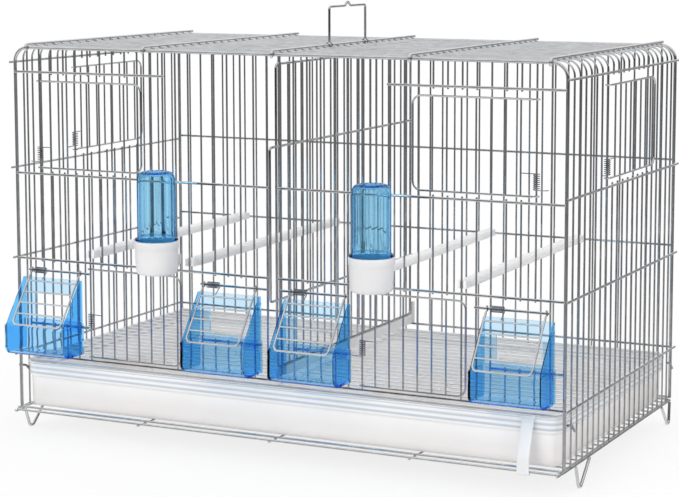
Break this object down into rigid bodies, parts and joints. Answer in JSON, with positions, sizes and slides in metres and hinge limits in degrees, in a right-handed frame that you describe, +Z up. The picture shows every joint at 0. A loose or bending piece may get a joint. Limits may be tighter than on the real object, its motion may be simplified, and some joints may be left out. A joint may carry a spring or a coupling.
{
  "type": "breeding cage",
  "caption": "Wire breeding cage for small birds with a pull-out tray, a sliding divider, sprung doors, outside feeders under wire flaps, drinkers and perches.",
  "frame": {"origin": "on the floor, under the middle of the whole cage with its feeders and drinkers", "axes": "+X to the right seen from the front, +Y towards the back, +Z up"},
  "size_m": [0.5826, 0.3588, 0.4281],
  "materials": {
    "zinc_wire": "bright zinc-plated wire",
    "spring_wire": "drawn spring wire",
    "blue_plastic": "clear light blue, glossy",
    "white_plastic": "satin white",
    "tray_plastic": "glossy off-white"
  },
  "bodies": {
    "cage": {"front_panel": "zinc_wire", "back_panel": "zinc_wire", "hood": "zinc_wire", "base_grille": "zinc_wire", "perch_1": "white_plastic", "perch_2": "white_plastic", "perch_3": "white_plastic", "perch_4": "white_plastic", "drinker_cup_1": "white_plastic", "drinker_cup_2": "white_plastic", "foot_front_left": "zinc_wire", "foot_front_right": "zinc_wire", "foot_back_left": "zinc_wire", "foot_back_right": "zinc_wire"},
    "tray": {"tray": "tray_plastic", "floor_grille": "zinc_wire"},
    "tray_latch": {"tray_latch": "white_plastic"},
    "divider": {"divider_panel": "zinc_wire", "divider_strip": "white_plastic"},
    "upper_door_left": {"upper_door_left": "zinc_wire", "upper_door_left_spring": "spring_wire"},
    "upper_door_right": {"upper_door_right": "zinc_wire", "upper_door_right_spring": "spring_wire"},
    "lower_door_left": {"lower_door_left": "zinc_wire", "lower_door_left_spring": "spring_wire"},
    "lower_door_right": {"lower_door_right": "zinc_wire", "lower_door_right_spring": "spring_wire"},
    "side_door_left": {"side_door_left": "zinc_wire", "side_door_left_spring": "spring_wire"},
    "side_door_right": {"side_door_right": "zinc_wire", "side_door_right_spring": "spring_wire"},
    "feeder_1": {"feeder_1": "blue_plastic"},
    "feeder_flap_1": {"feeder_flap_1": "zinc_wire", "flap_spring_1": "spring_wire"},
    "feeder_2": {"feeder_2": "blue_plastic"},
    "feeder_flap_2": {"feeder_flap_2": "zinc_wire", "flap_spring_2": "spring_wire"},
    "feeder_3": {"feeder_3": "blue_plastic"},
    "feeder_flap_3": {"feeder_flap_3": "zinc_wire", "flap_spring_3": "spring_wire"},
    "feeder_4": {"feeder_4": "blue_plastic"},
    "feeder_flap_4": {"feeder_flap_4": "zinc_wire", "flap_spring_4": "spring_wire"},
    "drinker_tube_1": {"drinker_tube_1": "blue_plastic"},
    "drinker_tube_2": {"drinker_tube_2": "blue_plastic"},
    "carry_handle": {"carry_handle": "zinc_wire"}
  },
  "joints": [
    {"name": "upper_door_left_hinge", "type": "hinge", "parent": "cage", "child": "upper_door_left", "pos_m": [-0.259, -0.13379, 0.308], "axis": [0, 0, -1], "range_deg": [0, 100], "stiffness_Nm_per_rad": 0.01, "springref_deg": -28.65},
    {"name": "upper_door_right_hinge", "type": "hinge", "parent": "cage", "child": "upper_door_right", "pos_m": [0.259, -0.13379, 0.308], "axis": [0, 0, 1], "range_deg": [0, 100], "stiffness_Nm_per_rad": 0.01, "springref_deg": -28.65},
    {"name": "lower_door_left_hinge", "type": "hinge", "parent": "cage", "child": "lower_door_left", "pos_m": [-0.203, -0.13379, 0.1255], "axis": [0, 0, -1], "range_deg": [0, 90], "stiffness_Nm_per_rad": 0.01, "springref_deg": -28.65},
    {"name": "lower_door_right_hinge", "type": "hinge", "parent": "cage", "child": "lower_door_right", "pos_m": [0.091, -0.13379, 0.1255], "axis": [0, 0, -1], "range_deg": [0, 90], "stiffness_Nm_per_rad": 0.01, "springref_deg": -28.65},
    {"name": "side_door_left_hinge", "type": "hinge", "parent": "cage", "child": "side_door_left", "pos_m": [-0.28775, -0.0311, 0.31455], "axis": [0, 0, 1], "range_deg": [0, 110], "stiffness_Nm_per_rad": 0.01, "springref_deg": -28.65},
    {"name": "side_door_right_hinge", "type": "hinge", "parent": "cage", "child": "side_door_right", "pos_m": [0.28775, -0.0311, 0.31455], "axis": [0, 0, -1], "range_deg": [0, 110], "stiffness_Nm_per_rad": 0.01, "springref_deg": -28.65},
    {"name": "feeder_flap_1_hinge", "type": "hinge", "parent": "cage", "child": "feeder_flap_1", "pos_m": [-0.2422, -0.13589, 0.164], "axis": [-1, 0, 0], "range_deg": [0, 105], "stiffness_Nm_per_rad": 0.01, "springref_deg": -28.65},
    {"name": "feeder_1_pull", "type": "slide", "parent": "cage", "child": "feeder_1", "axis": [0, -1, 0], "range_m": [0, 0.038]},
    {"name": "feeder_flap_2_hinge", "type": "hinge", "parent": "cage", "child": "feeder_flap_2", "pos_m": [-0.0462, -0.13589, 0.164], "axis": [-1, 0, 0], "range_deg": [0, 105], "stiffness_Nm_per_rad": 0.01, "springref_deg": -28.65},
    {"name": "feeder_2_pull", "type": "slide", "parent": "cage", "child": "feeder_2", "axis": [0, -1, 0], "range_m": [0, 0.038]},
    {"name": "feeder_flap_3_hinge", "type": "hinge", "parent": "cage", "child": "feeder_flap_3", "pos_m": [0.0462, -0.13589, 0.164], "axis": [-1, 0, 0], "range_deg": [0, 105], "stiffness_Nm_per_rad": 0.01, "springref_deg": -28.65},
    {"name": "feeder_3_pull", "type": "slide", "parent": "cage", "child": "feeder_3", "axis": [0, -1, 0], "range_m": [0, 0.038]},
    {"name": "feeder_flap_4_hinge", "type": "hinge", "parent": "cage", "child": "feeder_flap_4", "pos_m": [0.2422, -0.13589, 0.164], "axis": [-1, 0, 0], "range_deg": [0, 105], "stiffness_Nm_per_rad": 0.01, "springref_deg": -28.65},
    {"name": "feeder_4_pull", "type": "slide", "parent": "cage", "child": "feeder_4", "axis": [0, -1, 0], "range_m": [0, 0.038]},
    {"name": "tray_slide", "type": "slide", "parent": "cage", "child": "tray", "axis": [0, -1, 0], "range_m": [0, 0.25]},
    {"name": "tray_latch_hinge", "type": "hinge", "parent": "tray", "child": "tray_latch", "pos_m": [0.254, -0.13719, 0.071], "axis": [-1, 0, 0], "range_deg": [0, 90]},
    {"name": "divider_slide", "type": "slide", "parent": "cage", "child": "divider", "axis": [0, -1, 0], "range_m": [0, 0.25]},
    {"name": "drinker_tube_1_lift", "type": "slide", "parent": "cage", "child": "drinker_tube_1", "axis": [0, 0, 1], "range_m": [0, 0.06]},
    {"name": "drinker_tube_2_lift", "type": "slide", "parent": "cage", "child": "drinker_tube_2", "axis": [0, 0, 1], "range_m": [0, 0.06]},
    {"name": "carry_handle_hinge", "type": "hinge", "parent": "cage", "child": "carry_handle", "pos_m": [0, 0.02025, 0.38575], "axis": [0, 1, 0], "range_deg": [-85, 85]}
  ],
  "couplings": [
    {"joint": "feeder_1_pull", "follows": "feeder_flap_1_hinge", "m_per_rad": 0.020626},
    {"joint": "feeder_2_pull", "follows": "feeder_flap_2_hinge", "m_per_rad": 0.020626},
    {"joint": "feeder_3_pull", "follows": "feeder_flap_3_hinge", "m_per_rad": 0.020626},
    {"joint": "feeder_4_pull", "follows": "feeder_flap_4_hinge", "m_per_rad": 0.020626}
  ]
}
